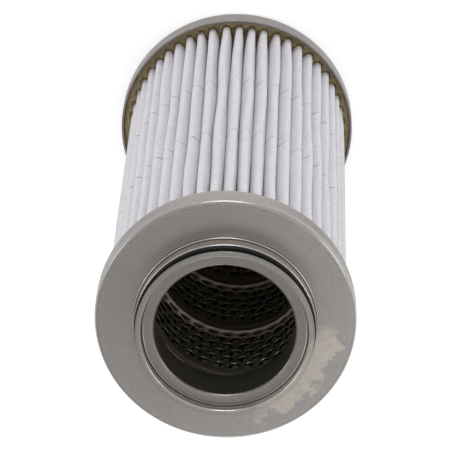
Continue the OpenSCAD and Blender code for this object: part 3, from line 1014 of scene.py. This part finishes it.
def wovenFinish(name, colour, dark, spacing, roughness):
    material, tree, shader = newMaterial(name, Roughness=roughness)
    where = millimetres(tree)
    parts = apart(tree, where)
    turn = times(tree, maths(tree, "ARCTAN2", parts[1], parts[0]), 36.0)
    warp = sized(tree, maths(tree, "SINE", times(tree, turn, math.pi / spacing)))
    weft = sized(tree, maths(tree, "SINE", times(tree, parts[2], math.pi / spacing)))
    threads = greater(tree, warp, weft)
    base = mixed(tree, ranged(tree, threads, 0.75, 0.98), dark, colour)
    base = mixed(tree, times(tree, noise(tree, where, 0.8), 0.3), base, dark)
    tree.links.new(base, shader.inputs["Base Color"])
    bumped(tree, shader, threads, 0.5, 0.0003)
    return material


def rubberFinish():
    material, tree, shader = newMaterial("sealRubber", Specular_IOR_Level=0.22)
    where = millimetres(tree)
    dust = useGroup(tree, cloudy, where, Size=1.6, Cover=0.4, Softness=0.2)
    dots = useGroup(tree, specks, where, Spacing=0.8, Size=0.2, Rarity=0.8)
    base = mixed(tree, times(tree, dust, 0.3), (0.007, 0.007, 0.008, 1), (0.03, 0.028, 0.028, 1))
    base = mixed(tree, times(tree, dots, 0.4), base, (0.2, 0.19, 0.18, 1))
    tree.links.new(base, shader.inputs["Base Color"])
    tree.links.new(ranged(tree, dust, 0.0, 1.0, 0.42, 0.62), shader.inputs["Roughness"])
    bumped(tree, shader, noise(tree, where, 3.0, 2.0), 0.2, 0.00005)
    return material


finish(openCapPiece, steelFinish(
    "openCapSteel", colour=(0.41, 0.389, 0.373, 1), stain=(0.445, 0.39, 0.355, 1),
    dark=(0.16, 0.146, 0.132, 1), roughness=0.32, stainSize=16.0, stainCover=0.35, speckRarity=0.8,
    wearAmount=0.9, metallic=0.55, soiledAndShaded=True))
finish(closedCapPiece, steelFinish(
    "closedCapSteel", colour=(0.265, 0.248, 0.238, 1), stain=(0.27, 0.238, 0.222, 1),
    dark=(0.14, 0.125, 0.113, 1), roughness=0.35, stainSize=16.0, stainCover=0.45, speckRarity=0.84,
    wearAmount=0.6))
finish(sleevePiece, steelFinish(
    "sleeveSteel", colour=(0.26, 0.245, 0.223, 1), stain=(0.26, 0.228, 0.193, 1),
    dark=(0.14, 0.127, 0.112, 1), roughness=0.36, stainSize=7.0, stainCover=0.45, speckRarity=0.74,
    wearAmount=0.9, metallic=0.88, lines=0.5, brightRing=flangeR / mm - 0.15))
finish(tubePiece, steelFinish(
    "tubeSteel", colour=(0.50, 0.475, 0.42, 1), stain=(0.44, 0.41, 0.355, 1), dark=(0.2, 0.19, 0.165, 1),
    roughness=0.24, stainSize=6.0, stainCover=0.5, speckRarity=0.8, wearAmount=1.0, grain=0.1,
    wornAndLit=(0.95, 0.93, 0.88, 1), metallic=0.76, wornSheen=0.03, crest=True))
finish(pleatPieces["outerFleece"], fleeceFinish())
mediaWeave = wovenFinish("filterMedia", (0.80, 0.79, 0.74, 1), (0.62, 0.60, 0.55, 1), 0.5, 0.9)
supportWeave = wovenFinish("supportWeave", (0.42, 0.375, 0.31, 1), (0.24, 0.21, 0.17, 1), 0.7, 0.6)
finish(pleatPieces["filterMedia"], mediaWeave)
finish(pleatPieces["innerSupportMesh"], supportWeave)
castResin = resinFinish()
for piece in (closedResin, openResin):
    finish(piece, castResin)
finish(sealPiece, rubberFinish())
print("finishes made")


# floor, light and camera

stage = dict(floorSize=8.0, floorDrop=0.2, floorColour=(0.93, 0.93, 0.93, 1),
             floorShade=(0.90, 0.90, 0.90, 1), floorGrain=3.0, floorGlow=0.45, aimHeight=0.7,
             sky=(0.93, 0.93, 0.94, 1), skyStrength=0.42)

floorMesh = bpy.data.meshes.new("floor")
half = stage["floorSize"] / 2
floorCorners = [(-half, -half, 0), (half, -half, 0), (half, half, 0), (-half, half, 0)]
floorMesh.from_pydata(floorCorners, [], [(0, 1, 2, 3)])
floor = bpy.data.objects.new("floor", floorMesh)
scene.collection.objects.link(floor)
floor.location.z = -stage["floorDrop"] * mm

floorMaterial, floorTree, floorShader = newMaterial(
    "paleFloor", Roughness=0.8, Emission_Color=(1, 1, 1, 1), Emission_Strength=stage["floorGlow"])
floorWhere = put(floorTree, "ShaderNodeTexCoord").outputs["Object"]
floorTone = noise(floorTree, floorWhere, stage["floorGrain"])
floorTone = mixed(floorTree, floorTone, stage["floorColour"], stage["floorShade"])
floorTree.links.new(floorTone, floorShader.inputs["Base Color"])
finish(floor, floorMaterial)

# name, azimuth, elevation, distance, size and power
lights = [("lowFront", 0, 27, 1.6, 0.6, 5.5), ("overhead", 160, 80, 1.9, 2.2, 9),
          ("leftSide", -80, 30, 1.5, 0.6, 2.4), ("rightSide", 80, 30, 1.5, 0.6, 2.8),
          ("lowBack", 178, 18, 1.5, 0.5, 1.6)]
target = Vector((0, 0, faceZ * stage["aimHeight"]))
for name, azimuth, elevation, distance, size, power in lights:
    data = bpy.data.lights.new(name, "AREA")
    data.shape, data.size, data.energy = "SQUARE", size, power
    lamp = bpy.data.objects.new(name, data)
    scene.collection.objects.link(lamp)
    a, e = math.radians(azimuth), math.radians(elevation)
    outward = Vector((-math.sin(a) * math.cos(e), -math.cos(a) * math.cos(e), math.sin(e)))
    lamp.location = target + distance * outward
    lamp.rotation_euler = (lamp.location - target).to_track_quat("Z", "Y").to_euler()

world = bpy.data.worlds.new("studio")
scene.world = world
world.use_nodes = True
world.node_tree.nodes["Background"].inputs["Color"].default_value = stage["sky"]
world.node_tree.nodes["Background"].inputs["Strength"].default_value = stage["skyStrength"]

cameraView = dict(lens=273.8, sensor=36, place=(-0.0348, -0.5461, 1.4002), ahead=(0.02639, 0.39151, -0.91980),
                  up=(0.0, -0.92011, -0.39165), clip=(0.05, 30))

cameraData = bpy.data.cameras.new("camera")
cameraData.lens, cameraData.sensor_width = cameraView["lens"], cameraView["sensor"]
cameraData.clip_start, cameraData.clip_end = cameraView["clip"]
camera = bpy.data.objects.new("camera", cameraData)
scene.collection.objects.link(camera)
back = -Vector(cameraView["ahead"]).normalized()
right = Vector(cameraView["up"]).cross(back).normalized()
facing = Matrix((right, back.cross(right), back)).transposed().to_4x4()
camera.matrix_world = Matrix.Translation(Vector(cameraView["place"])) @ facing
scene.camera = camera
scene.view_settings.view_transform = "Standard"
scene.view_settings.look = "None"
scene.cycles.use_denoising = True

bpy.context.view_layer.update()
shown = [o.data for o in scene.objects if o.type == "MESH" and not o.hide_render]
print("triangles", sum(len(p.vertices) - 2 for mesh in shown for p in mesh.polygons))
